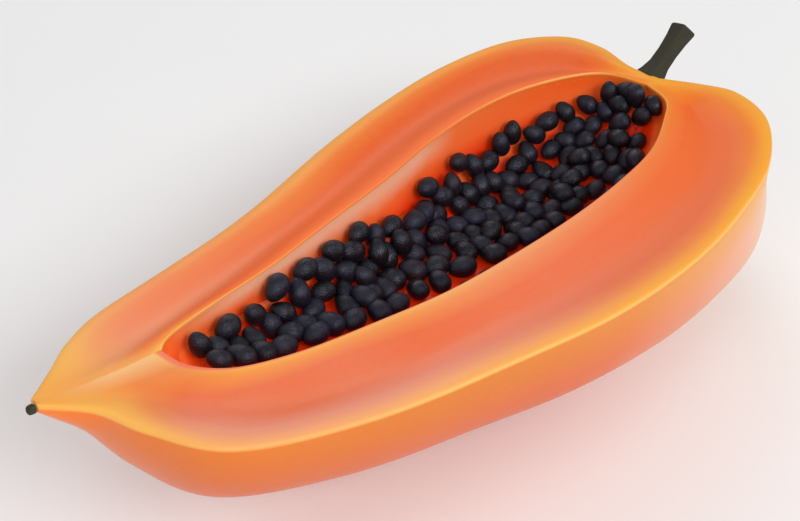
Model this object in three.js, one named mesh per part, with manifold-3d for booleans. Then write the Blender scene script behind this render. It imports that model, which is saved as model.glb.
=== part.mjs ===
// A papaya cut in half lengthwise, lying on its round back with the cut face up: the half fruit
// with its open cavity, the dark seeds that line the cavity, the stalk and the dried blossom tip.
// Millimetres, +Z up. The fruit is drawn with the blossom tip at X = 0 and the cut at Z = 0, and
// the finished group is moved so that the origin is the middle of the flat spot it rests on.

import * as THREE from 'three';
import { mergeVertices } from 'three/addons/utils/BufferGeometryUtils.js';
import Module from 'manifold-3d';

const wasm = await Module();
wasm.setup();

const { clamp, inverseLerp, lerp, smoothstep } = THREE.MathUtils;

// ---- the cut outline: [x, y] from the blossom tip to the stalk notch, -Y side and +Y side ----

const NEAR_RIM = [[0, 0], [3.6, -2], [8.6, -6.2], [12.4, -15], [20.8, -25.8], [42, -33.4], [70, -40.5],
  [98, -46.8], [124, -48.1], [147, -45.1], [166, -39.6], [182, -29.2], [187.8, -17.5], [185.2, -8.8],
  [180, 0]];
const FAR_RIM = [[0, 0], [3.2, 3.2], [8.8, 8.2], [16, 14.5], [26.5, 20.3], [46, 25.6], [72, 30.5],
  [99, 37.5], [124, 42.1], [147, 43.7], [168, 40.8], [181, 32], [183.3, 21], [180, 9.5], [180, 0]];

// ---- the mouth of the cavity, from its narrow end to its broad end ----

const NEAR_LIP = [[28, 3.2], [29.2, -3], [35, -8.4], [46, -11.9], [62, -15.1], [80, -18.9], [99, -20.5],
  [118, -21], [136, -19.9], [151, -17.4], [164, -11.8], [171.5, -7], [174.5, 0.8]];
const FAR_LIP = [[28, 3.2], [31, 5.7], [37, 7.8], [48, 10.1], [63, 12], [80, 14.6], [99, 17.3],
  [118, 21], [135, 22.6], [150, 21.5], [164, 17], [172, 11], [174.5, 0.8]];

// ---- the rounded back ----

const TIP_DEPTH_RATIO = 1.26; // depth over half-width at the blossom tip; 1 is a half round
const TIP_FADES_AT = 0.38; // share of the rim, from the tip, where the section is a half round
const STEM_END_DEPTH_RATIO = 0.88;
const STEM_END_FROM = 0.45; // share of the rim where the back starts to square up
const STEM_END_TO = 0.92;
const STEM_END_POWER = 3.2; // 2 is an ellipse, more is squarer
const STEM_END_BULGE = 0.31; // how far the shoulders swell past the rim
const STEM_END_OVERHANG = 5.4; // how far the back reaches past the rim at the broad end

const TIP_LIFT = 12; // the blossom tip curls up by this much
const TIP_LIFT_TO = 66; // and the curl ends this far from it

// ---- the cut face ----

const FACE_RISE = 0.8; // from the rim's crease up to the face
const RIM_ROLL_NEAR = 1; // width of the rolled edge, crisp on the near side
const RIM_ROLL_FAR = 2.4;
const RIM_ROLL_SHOULDER = 6;
const FACE_DISH = 2.2; // how far the soft flesh sinks between rim and lip
const LIP_ROLL = 0.4; // a crisp edge round the cavity
const LIP_DROP = 1.6; // and a straight edge below it, down to the cavity's curved wall

// ---- the cavity ----

const CAVITY_DEPTH_RATIO = 1.1; // depth over half-width
const CAVITY_POWER = 2.3;

// ---- the flat spot under the weight ----

const REST_CUT = 1.6; // how much the lowest point is flattened

// ---- seeds ----

const SEED_LENGTH = 6.6;
const SEED_WIDTH = 5;
const SEED_THICKNESS = 4.6;
const SEED_TAPER = 0.14;
const SEED_SPREAD = 0.07; // size varies by this share
const SEED_NARROW_END = 0.86; // size at the narrow end of the cavity
const SEED_STEM_END = 0.93; // and near the stalk
const SEED_TURN = 2.36; // radians from along the fruit: most seeds lie askew to it
const SEED_TURN_SPREAD = 2.4;
const SEED_TILT = 0.25; // radians, out of the wall's plane
const SEED_DRAW = 19; // start of the random draw
const WALL_GAP = 0.35; // air between the seeds and the flesh
const BED_EDGE = 3.1; // from the wall to the middles of the seeds, high on the wall
const BED_FLOOR = 6.2; // and at the bottom of the cavity
const BED_CORE_DROP = 1.3; // the mat that the seeds stand out of ends this far below their middles
const MAT_GAP = 0.7; // air under the mat
const MAT_FROM = 0.5; // angle on the near wall
const MAT_SHORT = 0.04; // the mat ends this far below the highest seeds, as an angle
const MAT_STATION_RANGE = [0.12, 0.97];
const ROOT_RADIUS = 0.7;
const ROOT_FROM = 1.85; // seeds whose middles lie higher than this above the mat have a root
const ROOT_INSET = 0.1; // a root's foot keeps this far from the mat's edges, as an angle
const ROOT_STATION_INSET = 0.02; // and this far from its ends
const HOLLOW_TOP = 30;

// The seeds reach down to heapFoot and up to bedTop on the far wall; both are angles at a station.
const heapFoot = (s) => 1.5 - 0.3 * smoothstep(s, 0.48, 0.7) - 0.6 * smoothstep(s, 0.7, 0.85);
const bedTop = (s) => 2.93 - 0.13 * smoothstep(s, 0.46, 0.54) - 0.1 * smoothstep(s, 0.82, 0.87)
  + 0.32 * smoothstep(s, 0.89, 0.94);

// How often a seed is dropped, where along the cavity, from and to which angle, the least distance
// between middles, and how much higher than the bed the middles lie.
const SEED_LAYERS = [
  { // the row at the foot of the heap
    tries: 900, stations: [0.15, 0.985], from: heapFoot, to: (s) => heapFoot(s) + 0.12,
    room: 4.9, rise: [0, 0.6],
  },
  { // a few that lie by themselves on the far wall
    tries: 14, stations: [0.2, 0.9], from: (s) => bedTop(s) + 0.02, to: (s) => bedTop(s) + 0.12,
    room: 6.2, rise: [-0.6, -0.4],
  },
  { // the ragged upper edge
    tries: 45, stations: [0.15, 0.985], from: (s) => bedTop(s) - 0.14, to: bedTop,
    room: 4.9, rise: [0, 0.3],
  },
  { // the layer between, loose and then filled up
    tries: 4000, stations: [0.14, 0.997], from: heapFoot, to: (s) => bedTop(s) - 0.1,
    room: 4.9, rise: [0, 0.6],
  },
  {
    tries: 4000, stations: [0.14, 0.997], from: heapFoot, to: (s) => bedTop(s) - 0.06,
    room: 4.1, rise: [0, 0.6],
  },
  { // the near wall
    tries: 1500, stations: [0.3, 0.8], from: () => 0.45, to: (s) => heapFoot(s) - 0.42,
    room: 5.4, rise: [0, 0.6],
  },
  { // seeds that lie on top
    tries: 2000, stations: [0.22, 0.96], from: (s) => heapFoot(s) + 0.1, to: (s) => bedTop(s) - 0.3,
    room: 4.1, rise: [2, 2.6],
  },
  { // seeds pressed against the wall at the stalk end
    tries: 1500, stations: [0.93, 0.995], from: () => 0.1, to: () => 3,
    room: 3.9, rise: [-1.6, -1.2],
  },
];

// ---- stalk and blossom tip ----

const STEM_START = new THREE.Vector3(179, 4, -3.4);
const STEM_DIRECTION = new THREE.Vector3(11.1, 0, 7.9);
const STEM_STOPS = [
  [0, 2.6], [2.5, 4.3], [4.2, 3.6], [7, 2.9], [11, 2.8], [15, 3.1], [18.2, 3.6], [18.6, 3.3],
];
const STEM_FACETS = 5;
const STEM_TWIST = 0.3;
const STEM_CRISPNESS = 0.85;
const ROD_POINTS = 20;

const TIP_JOINT = 1.5; // the dried remnant begins here, just past the cut-off point of the flesh
const TIP_START = new THREE.Vector3(1.2, 0.1, 11.2);
const TIP_DIRECTION = new THREE.Vector3(-1, 0, 0.15);
const TIP_STOPS = [[0, 0.95], [0.5, 0.95], [1, 0.85], [1.25, 0.6]];

// ---- mesh resolution ----

const SKIN_STATIONS = 44;
const SKIN_ANGLES = 20;
const ROLL_STEPS = 3;
const LIP_STEPS = 2;
const FACE_STEPS = 5;
const CAVITY_ANGLES = 12;
const SEED_SIDES = 6;
const SEED_BANDS = 3;
const ROOT_SIDES = 3;
const MAT_STEPS = 7;
const MAT_STATIONS = 13;

const curve = (points) => new THREE.SplineCurve(points.map(([x, y]) => new THREE.Vector2(x, y)));
const rim = { near: curve(NEAR_RIM), far: curve(FAR_RIM) };
const lip = { near: curve(NEAR_LIP), far: curve(FAR_LIP) };

// ---------------------------------------------------------------- sections

// A station s along an outline: its middle and the half-width vector from the middle to the far side.
function station(outline, s) {
  const near = outline.near.getPoint(s);
  const far = outline.far.getPoint(s);
  return {
    middle: near.clone().add(far).multiplyScalar(0.5),
    half: far.clone().sub(near).multiplyScalar(0.5),
  };
}

const lift = (x) => TIP_LIFT * Math.max(0, 1 - x / TIP_LIFT_TO) ** 2;

// One point of a hanging section: angle 0 is the near edge, PI / 2 the bottom, PI the far edge.
function sectionPoint({ middle, half }, angle, power, depth, bulge, overhang, top) {
  const cosine = Math.cos(angle);
  const sine = Math.sin(angle);
  const across = -Math.sign(cosine) * Math.abs(cosine) ** (2 / power)
    * (1 + bulge * Math.sin(2 * angle) ** 2);
  const x = middle.x + half.x * across + overhang * sine * sine;
  return new THREE.Vector3(x, middle.y + half.y * across, top + lift(x) - depth * sine ** (2 / power));
}

function skinPoint(s, angle) {
  const at = station(rim, s);
  const stemEnd = smoothstep(s, STEM_END_FROM, STEM_END_TO);
  const tipEnd = 1 - smoothstep(s, 0, TIP_FADES_AT);
  const power = lerp(2, STEM_END_POWER, stemEnd);
  const depth = at.half.length() * lerp(1, TIP_DEPTH_RATIO, tipEnd) * lerp(1, STEM_END_DEPTH_RATIO, stemEnd);
  const overhang = STEM_END_OVERHANG * stemEnd * (1 - smoothstep(s, STEM_END_TO, 1));
  return sectionPoint(at, angle, power, depth, STEM_END_BULGE * stemEnd, overhang, 0);
}

const LIP_HEIGHT = FACE_RISE - LIP_DROP;

// A point on the cavity's wall, or the given inset away from it, in the hollow.
function cavityPoint(s, angle, inset = 0) {
  const at = station(lip, s);
  const width = at.half.length();
  const depth = width * CAVITY_DEPTH_RATIO - inset;
  at.half.setLength(Math.max(width - inset, 0));
  return sectionPoint(at, angle, CAVITY_POWER, Math.max(depth, 0), 0, 0, LIP_HEIGHT);
}

// ---------------------------------------------------------------- closed surfaces from grids

function addGrid(triangles, grid, flip) {
  for (let row = 0; row + 1 < grid.length; row += 1) {
    for (let column = 0; column + 1 < grid[row].length; column += 1) {
      const a = grid[row][column];
      const b = grid[row][column + 1];
      const c = grid[row + 1][column + 1];
      const d = grid[row + 1][column];
      for (const [p, q, r] of [[a, b, c], [a, c, d]]) {
        const degenerate = p.distanceTo(q) < 1e-6 || q.distanceTo(r) < 1e-6 || r.distanceTo(p) < 1e-6;
        if (!degenerate) triangles.push(...(flip ? [p, r, q] : [p, q, r]));
      }
    }
  }
}

function toManifold(geometry) {
  geometry.deleteAttribute('normal');
  geometry.deleteAttribute('uv');
  const merged = mergeVertices(geometry, 1e-4);
  return new wasm.Manifold(new wasm.Mesh({
    numProp: 3,
    vertProperties: new Float32Array(merged.attributes.position.array),
    triVerts: new Uint32Array(merged.index.array),
  }));
}

function toMesh(solid, name, material) {
  const { vertProperties, triVerts } = solid.getMesh();
  const geometry = new THREE.BufferGeometry();
  geometry.setAttribute('position', new THREE.BufferAttribute(vertProperties, 3));
  geometry.setIndex(new THREE.BufferAttribute(triVerts, 1));
  geometry.computeVertexNormals();
  const mesh = new THREE.Mesh(geometry, material);
  mesh.name = name;
  return mesh;
}

const range = (count) => Array.from({ length: count + 1 }, (_, i) => i / count);

// ---------------------------------------------------------------- the half fruit

// The loop index runs along the near side (0 to 1) and back along the far side (1 to 2).
const side = (turn) => (turn <= 1 ? { key: 'near', s: turn } : { key: 'far', s: 2 - turn });

function rimRoll(turn) {
  const { key, s } = side(turn);
  const shoulder = smoothstep(s, 0.66, 0.84) * (1 - smoothstep(s, 0.9, 1));
  const plain = key === 'near' ? RIM_ROLL_NEAR : RIM_ROLL_FAR;
  return lerp(plain, RIM_ROLL_SHOULDER, shoulder) * smoothstep(s, 0, 0.12) + 0.2;
}

// The cut face along one line: a rolled edge, a shallow dish, a crisp lip and its straight inner edge.
function faceLine(turn) {
  const { key, s } = side(turn);
  const outer = rim[key].getPoint(s);
  const inner = lip[key].getPoint(s);
  const span = outer.distanceTo(inner);
  const roll = Math.min(rimRoll(turn), span * 0.3);
  const lipRoll = Math.min(LIP_ROLL, span * 0.3);
  const dish = FACE_DISH * smoothstep(s, 0.04, 0.25) * (1 - smoothstep(s, 0.85, 1));
  const line = [];
  const place = (distance, height) => {
    const flat = outer.clone().lerp(inner, distance / span);
    line.push(new THREE.Vector3(flat.x, flat.y, height + lift(flat.x)));
  };
  for (const t of range(ROLL_STEPS)) {
    const angle = t * Math.PI / 2;
    place(roll * (1 - Math.cos(angle)), FACE_RISE * Math.sin(angle));
  }
  for (const t of range(FACE_STEPS).slice(1, -1)) {
    place(lerp(roll, span - lipRoll, t), FACE_RISE - dish * Math.sin(t * Math.PI) ** 2);
  }
  for (const t of range(LIP_STEPS)) {
    const angle = t * Math.PI / 2;
    place(span - lipRoll * (1 - Math.sin(angle)), FACE_RISE - LIP_ROLL * (1 - Math.cos(angle)));
  }
  place(span, LIP_HEIGHT);
  return line;
}

function fruitBlank() {
  const triangles = [];
  const stations = range(SKIN_STATIONS);
  const skin = stations.map((s) => range(SKIN_ANGLES).map((t) => skinPoint(s, t * Math.PI)));
  const wall = stations.map((s) => range(CAVITY_ANGLES).map((t) => cavityPoint(s, t * Math.PI)));
  const face = range(2 * SKIN_STATIONS).map((t) => faceLine(2 * t));
  addGrid(triangles, skin, false);
  addGrid(triangles, wall, true);
  addGrid(triangles, face, true);
  return toManifold(new THREE.BufferGeometry().setFromPoints(triangles));
}

// A block between two opposite corners.
function block(low, high) {
  const box = new THREE.BoxGeometry(...low.map((value, i) => high[i] - value));
  box.translate(...low.map((value, i) => (value + high[i]) / 2));
  return toManifold(box);
}

// ---------------------------------------------------------------- lofts: stalk, tip, hollow

// Closed rings of points joined into one body; a capped end is closed with a fan.
function loft(rings, capped) {
  const triangles = [];
  addGrid(triangles, rings.map((ring) => [...ring, ring[0]]), false);
  if (capped) {
    for (const [ring, flip] of [[rings[0], false], [rings.at(-1), true]]) {
      const sum = ring.reduce((total, point) => total.add(point), new THREE.Vector3());
      const middle = sum.divideScalar(ring.length);
      ring.forEach((point, i) => {
        const next = ring[(i + 1) % ring.length];
        triangles.push(...(flip ? [middle, point, next] : [middle, next, point]));
      });
    }
  }
  return toManifold(new THREE.BufferGeometry().setFromPoints(triangles));
}

// A faceted rod: a polygon with softened corners, swept along a straight axis with a radius at each
// stop.
function rod(start, direction, stops, grow) {
  const forward = direction.clone().normalize();
  const sideways = new THREE.Vector3(0, 1, 0).cross(forward).normalize();
  const across = forward.clone().cross(sideways);
  const rings = stops.map(([distance, radius]) => {
    const middle = start.clone().addScaledVector(forward, distance);
    return Array.from({ length: ROD_POINTS }, (_, i) => {
      const turn = (i / ROD_POINTS) * 2 * Math.PI;
      const facet = Math.PI / STEM_FACETS;
      const flat = Math.cos(facet) / Math.cos(((turn + STEM_TWIST) % (2 * facet)) - facet);
      const reach = (radius + grow) * lerp(1, flat, STEM_CRISPNESS);
      return middle.clone()
        .addScaledVector(sideways, reach * Math.cos(turn))
        .addScaledVector(across, reach * Math.sin(turn));
    });
  });
  return loft(rings, true);
}

// ---------------------------------------------------------------- seeds

// A small seeded random source, so that the seeds always fall alike.
function randomSource(seed) {
  let state = seed;
  return () => {
    state = (state + 0x6d2b79f5) | 0;
    let mixed = Math.imul(state ^ (state >>> 15), 1 | state);
    mixed = (mixed + Math.imul(mixed ^ (mixed >>> 7), 61 | mixed)) ^ mixed;
    return ((mixed ^ (mixed >>> 14)) >>> 0) / 4294967296;
  };
}

// The wall at (s, angle): a point, the way along the fruit, and the way into the hollow.
function wallFrame(s, angle) {
  const step = 1e-3;
  const along = cavityPoint(s + step, angle).sub(cavityPoint(s - step, angle)).normalize();
  const round = cavityPoint(s, angle + step).sub(cavityPoint(s, angle - step)).normalize();
  const inward = along.clone().cross(round).normalize();
  return { point: cavityPoint(s, angle), along, inward };
}

const seedSize = (s) => lerp(SEED_NARROW_END, 1, smoothstep(s, 0.1, 0.4))
  - (1 - SEED_STEM_END) * smoothstep(s, 0.72, 0.9);

// How far the middles of the seeds lie from the wall: one layer high up, a heap at the bottom.
const bedHeight = (s, angle) => lerp(BED_EDGE, BED_FLOOR, Math.sin(angle) ** 4 * smoothstep(s, 0, 0.2));

// Seeds drop at random on the wall, layer by layer, and stay where they have room.
function placeSeeds() {
  const random = randomSource(SEED_DRAW);
  const seeds = [];
  for (const { tries, stations, from, to, room, rise } of SEED_LAYERS) {
    for (let i = 0; i < tries; i += 1) {
      const s = lerp(...stations, random());
      const angle = lerp(from(s), to(s), random());
      const turn = SEED_TURN + (random() - 0.5) * SEED_TURN_SPREAD;
      const tilt = (random() - 0.5) * 2 * SEED_TILT;
      const size = (1 + (random() - 0.5) * 2 * SEED_SPREAD) * seedSize(s);
      const { point, along, inward } = wallFrame(s, angle);
      const height = bedHeight(s, angle) + lerp(...rise, random());
      const centre = point.clone().addScaledVector(inward, height);
      if (seeds.some((other) => other.centre.distanceTo(centre) < room)) continue;
      const across = inward.clone().cross(along);
      const axis = along.clone().multiplyScalar(Math.cos(turn)).addScaledVector(across, Math.sin(turn))
        .addScaledVector(inward, Math.sin(tilt)).normalize();
      seeds.push({ centre, axis, inward, size, s, angle, height });
    }
  }
  return seeds;
}

function seedSolid({ centre, axis, inward, size }) {
  const egg = new THREE.SphereGeometry(1, SEED_SIDES, SEED_BANDS);
  egg.rotateZ(Math.PI / 2);
  const points = egg.attributes.position;
  for (let i = 0; i < points.count; i += 1) {
    const taper = 1 - SEED_TAPER * points.getX(i);
    points.setXYZ(i, points.getX(i), points.getY(i) * taper, points.getZ(i) * taper);
  }
  egg.scale(SEED_LENGTH * size / 2, SEED_WIDTH * size / 2, SEED_THICKNESS * size / 2);
  const across = inward.clone().cross(axis).normalize();
  egg.applyMatrix4(new THREE.Matrix4().makeBasis(axis, across, axis.clone().cross(across)));
  egg.translate(...centre.toArray());
  return toManifold(egg);
}

// How thick the mat is; it thins out at both ends.
function matTop(s, angle) {
  const t = clamp(inverseLerp(...MAT_STATION_RANGE, s), 0, 1);
  return lerp(MAT_GAP, bedHeight(s, angle) - BED_CORE_DROP, (4 * t * (1 - t)) ** 0.3);
}

// The mat of seed coats along the wall, which the seeds stand out of.
function mat() {
  const rings = range(MAT_STATIONS).map((t) => {
    const s = lerp(...MAT_STATION_RANGE, t);
    const angles = range(MAT_STEPS).map((step) => lerp(MAT_FROM, bedTop(s) - MAT_SHORT, step));
    return [
      ...angles.map((angle) => cavityPoint(s, angle, MAT_GAP)),
      ...angles.toReversed().map((angle) => cavityPoint(s, angle, matTop(s, angle))),
    ];
  });
  return loft(rings, false);
}

const needsRoot = ({ s, angle, height }) => s > MAT_STATION_RANGE[1] || angle > bedTop(s)
  || height > matTop(s, angle) + ROOT_FROM;

// The thin root of a seed that stands clear of the mat runs from its middle into the mat.
function root({ centre, s, angle }) {
  const [first, last] = MAT_STATION_RANGE;
  const station = clamp(s, first + ROOT_STATION_INSET, last - ROOT_STATION_INSET);
  const low = clamp(angle, MAT_FROM + ROOT_INSET, bedTop(station) - MAT_SHORT - ROOT_INSET);
  const foot = cavityPoint(station, low, matTop(station, low) / 2);
  const length = centre.distanceTo(foot);
  const cord = new THREE.CylinderGeometry(ROOT_RADIUS, ROOT_RADIUS, length, ROOT_SIDES);
  cord.applyQuaternion(new THREE.Quaternion().setFromUnitVectors(
    new THREE.Vector3(0, 1, 0),
    centre.clone().sub(foot).normalize(),
  ));
  cord.translate(...centre.clone().add(foot).multiplyScalar(0.5).toArray());
  return toManifold(cord);
}

// The room inside the cavity, a little smaller than the wall and open far above the lip.
function hollow() {
  const angles = range(CAVITY_ANGLES).map((t) => t * Math.PI);
  const rings = range(SKIN_STATIONS).slice(1, -1).map((s) => {
    const wall = angles.map((angle) => cavityPoint(s, angle, WALL_GAP));
    const above = [wall.at(-1), wall[0]].map((point) => point.clone().setZ(HOLLOW_TOP));
    return [...wall, ...above];
  });
  return loft(rings, true);
}

// The mat, the seeds and their roots fused into one body; a seed that stays loose is left out.
function seedBunch() {
  const seeds = placeSeeds();
  const roots = seeds.filter(needsRoot).map(root);
  const bunch = wasm.Manifold.union([mat(), ...seeds.map(seedSolid), ...roots]).intersect(hollow());
  const bodies = bunch.decompose().sort((a, b) => b.volume() - a.volume());
  return bodies[0];
}

// ---------------------------------------------------------------- the finished parts

const stem = (grow) => rod(STEM_START, STEM_DIRECTION, STEM_STOPS, grow);

function halfFruit() {
  const whole = fruitBlank();
  const lowest = whole.boundingBox().min[2];
  const floor = block([-50, -100, lowest - 50], [250, 100, lowest + REST_CUT]);
  const tip = block([-50, -100, -50], [TIP_JOINT, 100, 50]);
  return whole.subtract(floor).subtract(tip).subtract(stem(WALL_GAP));
}

// The middle of the flat spot, where the fruit touches what it lies on.
function restPoint(solid) {
  const lowest = solid.boundingBox().min[2];
  const { vertProperties } = solid.getMesh();
  const spot = new THREE.Box3();
  for (let i = 0; i < vertProperties.length; i += 3) {
    const point = new THREE.Vector3().fromArray(vertProperties, i);
    if (point.z < lowest + 1e-3) spot.expandByPoint(point);
  }
  return spot.getCenter(new THREE.Vector3());
}

const finish = (color, roughness) => new THREE.MeshStandardMaterial({ color, roughness, metalness: 0 });
const fruit = halfFruit();

const group = new THREE.Group();
group.add(
  toMesh(fruit, 'papaya_half', finish(0xe8743a, 0.4)),
  toMesh(seedBunch(), 'seeds', finish(0x25272c, 0.45)),
  toMesh(stem(0), 'stem', finish(0x3e3e38, 0.6)),
  toMesh(rod(TIP_START, TIP_DIRECTION, TIP_STOPS, 0), 'blossom_tip', finish(0x5c543e, 0.7)),
);
group.position.copy(restPoint(fruit)).negate();

export default group;
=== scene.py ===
"""The looks of a halved papaya: moist flesh, waxy skin, a heap of dark seeds, stalk and blossom tip.

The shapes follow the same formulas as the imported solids, with finer steps. Lengths are worked out in
the fruit's own millimetres, with the blossom tip at X = 0 and the cut at Z = 0, and turned into
metres in the frame at the end. A station runs along an outline, from 0 at the blossom end to 1 at the
stalk. An angle runs round a section, from 0 at the near edge past the bottom to pi at the far edge.
"""
import math

import bmesh
import bpy
import numpy as np
from mathutils import Matrix, Vector


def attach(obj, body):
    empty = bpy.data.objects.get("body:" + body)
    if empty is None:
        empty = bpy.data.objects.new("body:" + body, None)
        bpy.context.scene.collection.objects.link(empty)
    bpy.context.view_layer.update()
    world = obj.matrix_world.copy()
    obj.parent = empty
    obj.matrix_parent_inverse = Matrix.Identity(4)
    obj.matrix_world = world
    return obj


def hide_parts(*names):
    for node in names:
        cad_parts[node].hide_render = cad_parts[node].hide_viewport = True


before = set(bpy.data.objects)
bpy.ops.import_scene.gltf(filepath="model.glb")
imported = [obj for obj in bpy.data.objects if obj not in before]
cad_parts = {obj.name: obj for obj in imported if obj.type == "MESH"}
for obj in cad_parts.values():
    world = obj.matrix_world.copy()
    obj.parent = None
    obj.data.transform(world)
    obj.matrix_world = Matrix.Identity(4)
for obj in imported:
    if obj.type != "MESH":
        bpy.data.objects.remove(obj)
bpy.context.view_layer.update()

MM = 0.001
REST_POINT = np.array([125.485, -2.534, -42.592])  # where the frame's origin is, in the fruit's own mm

# ---------------------------------------------------------------- camera, as the picture was taken

FRAME_WIDTH = 800
FRAME_HEIGHT = 521
FOCAL_PIXELS = 1200
SENSOR_MM = 36
CAMERA_AZIMUTH = math.radians(45.484)
CAMERA_ELEVATION = math.radians(38)
CUT_POINT_PIXEL = (40.67, 459.85)  # where the corner of the cut plane, X = 0 and Z = 0, is seen
CUT_POINT_DISTANCE = 201.57  # along the view, in mm
CLIP_START = 0.01  # metres

# ---------------------------------------------------------------- light and floor, in metres and watts

WORLD_STRENGTH = 0.4
LIGHTS = [  # name, place, target, size, power
    ("front", (-0.08, -0.63, 0.54), (0, 0, 0.04), (0.5, 0.3), 3.3),
    ("back", (0.3, 0.6, 0.62), (-0.03, 0, 0.04), (0.7, 0.4), 1.9),
    ("key", (-0.25, -0.1, 0.75), (0, 0, 0.02), (0.3, 0.3), 0.35),
    ("left", (-0.6, 0.05, 0.32), (0.05, 0, 0.03), (0.4, 0.3), 0.5),
    ("side", (0.55, -0.4, 0.25), (0.03, 0, 0.03), (0.5, 0.35), 0.8),
]
FLOOR_REACH = 3.0  # from its middle to its edges

# ---------------------------------------------------------------- the fruit's outlines, seen from above

NEAR_RIM = [(0, 0), (3.6, -2), (8.6, -6.2), (12.4, -15), (20.8, -25.8), (42, -33.4), (70, -40.5),
            (98, -46.8), (124, -48.1), (147, -45.1), (166, -39.6), (182, -29.2), (187.8, -17.5),
            (185.2, -8.8), (180, 0)]
FAR_RIM = [(0, 0), (3.2, 3.2), (8.8, 8.2), (16, 14.5), (26.5, 20.3), (46, 25.6), (72, 30.5),
           (99, 37.5), (124, 42.1), (147, 43.7), (168, 40.8), (181, 32), (183.3, 21), (180, 9.5),
           (180, 0)]
NEAR_LIP = [(28, 3.2), (29.2, -3), (35, -8.4), (46, -11.9), (62, -15.1), (80, -18.9), (99, -20.5),
            (118, -21), (136, -19.9), (151, -17.4), (164, -11.8), (171.5, -7), (174.5, 0.8)]
FAR_LIP = [(28, 3.2), (31, 5.7), (37, 7.8), (48, 10.1), (63, 12), (80, 14.6), (99, 17.3),
           (118, 21), (135, 22.6), (150, 21.5), (164, 17), (172, 11), (174.5, 0.8)]

# ---------------------------------------------------------------- the skin's sections

TIP_DEPTH_RATIO = 1.26  # depth over half-width at the blossom tip; 1 is a half round
TIP_FADES_AT = 0.38  # station where the section is a half round
STEM_END_DEPTH_RATIO = 0.88
STEM_END_FROM = 0.45  # station where the back starts to square up
STEM_END_TO = 0.92
STEM_END_POWER = 3.2  # 2 is an ellipse, more is squarer
STEM_END_BULGE = 0.31  # how far the shoulders swell past the rim
STEM_END_OVERHANG = 5.4  # how far the back reaches past the rim at the broad end
TIP_LIFT = 12  # the blossom tip curls up by this much
TIP_LIFT_TO = 66  # and the curl ends this far from it

# ---------------------------------------------------------------- the cut face and the cavity

FACE_RISE = 0.8  # from the rim's crease up to the face
RIM_ROLL_NEAR = 1  # width of the rolled edge, crisp on the near side
RIM_ROLL_FAR = 2.4
RIM_ROLL_SHOULDER = 6
RIM_ROLL_LEAST = 0.2
ROLL_GROWS = (0, 0.12)  # stations between which the roll grows from its least width
SHOULDER_GROWS = (0.66, 0.84)
SHOULDER_FADES = (0.9, 1)
ROLL_SHARE = 0.3  # a roll takes at most this share of the face's width
FACE_DISH = 2.2  # how far the soft flesh sinks between rim and lip
DISH_GROWS = (0.04, 0.25)
DISH_FADES = (0.85, 1)
LIP_ROLL = 0.4  # a crisp edge round the cavity
LIP_DROP = 1.6  # and a straight edge below it, down to the cavity's curved wall
LIP_HEIGHT = FACE_RISE - LIP_DROP
CAVITY_DEPTH_RATIO = 1.1  # depth over half-width
CAVITY_POWER = 2.3

# How wide the yellow band along the skin is, in mm: before and at the stalk end, and what the tip adds.
BAND_NEAR = (8, 14)
BAND_FAR = (9, 10)
BAND_AT_TIP = 22
BAND_TIP_FADES = (0.03, 0.24)
BAND_STEM_GROWS = (0.62, 0.9)

NEAR_SKIN_FADES = (0.7, 2.0)  # angles between which the skin's near side ends
FAR_WALL_GROWS = (1.7, 2.4)  # and between which the wall's far side begins
FAR_AWAY_MM = 60.0  # stands for a rim or lip that is out of reach

# ---------------------------------------------------------------- the seeds

SEED_LENGTH = 6.6
SEED_WIDTH = 5
SEED_THICKNESS = 4.6
SEED_TAPER = 0.14
SEED_SPREAD = 0.07  # size varies by this share
SEED_TURN = 2.36  # radians from along the fruit: most seeds lie askew to it
SEED_TURN_SPREAD = 2.4
SEED_TILT = 0.25  # radians, out of the wall's plane
SEED_DRAW = 19  # start of the random draw
BED_EDGE = 3.1  # from the wall to the middles of the seeds, high on the wall
BED_FLOOR = 6.2  # and at the bottom of the cavity
BED_GROWS = (0, 0.2)

# Values at the blossom end, and their steps: by how much they change, and between which stations.
SEED_NARROW_END = 0.86  # size at the narrow end of the cavity
SEED_STEM_END = 0.93  # and near the stalk
SEED_SIZE_STEPS = [(1 - SEED_NARROW_END, 0.1, 0.4), (SEED_STEM_END - 1, 0.72, 0.9)]
HEAP_FOOT = 1.5  # angle on the near side where the heap ends
HEAP_FOOT_STEPS = [(-0.3, 0.48, 0.7), (-0.6, 0.7, 0.85)]
BED_TOP = 2.93  # and on the far wall
BED_TOP_STEPS = [(-0.13, 0.46, 0.54), (-0.1, 0.82, 0.87), (0.32, 0.89, 0.94)]

SEED_DENT = 0.035  # how uneven a seed's outline is
DENT_WAVES = 3
DENT_PITCH = 2.2  # radians per half size
DENT_PHASE = 6.28  # the waves start anywhere within about a turn
WRINKLE_SHIFT = 20  # sets the seeds' wrinkles apart

# ---------------------------------------------------------------- the pulp that holds the seeds

PULP_DROP = 1.7  # the pulp lies this far below the seeds' middles
PULP_SUNK = -0.15  # and its edges this deep in the flesh
PULP_FROM = 0.35  # angle on the near wall
PULP_SHORT = 0.05  # the pulp ends this far below the highest seeds, as an angle
PULP_EDGE = 0.4  # and thins out over this angle
PULP_STATIONS = (0.1, 0.985)
PULP_GROWS_TO = 0.2
PULP_FADES_FROM = 0.93
PULP_TONE_MM = 12.0  # the pulp is as red as the wall is this far below the lip
RIPPLE_HEIGHT = 0.2
RIPPLES_ALONG = 95  # radians, from station 0 to 1
RIPPLES_ROUND = 11  # radians per radian of the section
SWAY_ALONG = (3, 7)  # how far the ripples along the fruit sway, and how fast
SWAY_ROUND = (2, 40)  # and those round it
THREAD_STOPS = [(0, 1.3), (0.15, 0.8), (0.35, 0.5), (0.7, 0.4)]  # share of the way to the seed, and radius
THREAD_FOOT = 0.3  # the thread starts this deep in the wall
THREAD_TONE_MM = 3.6  # the threads are as red as the wall is this far below the lip
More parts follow.
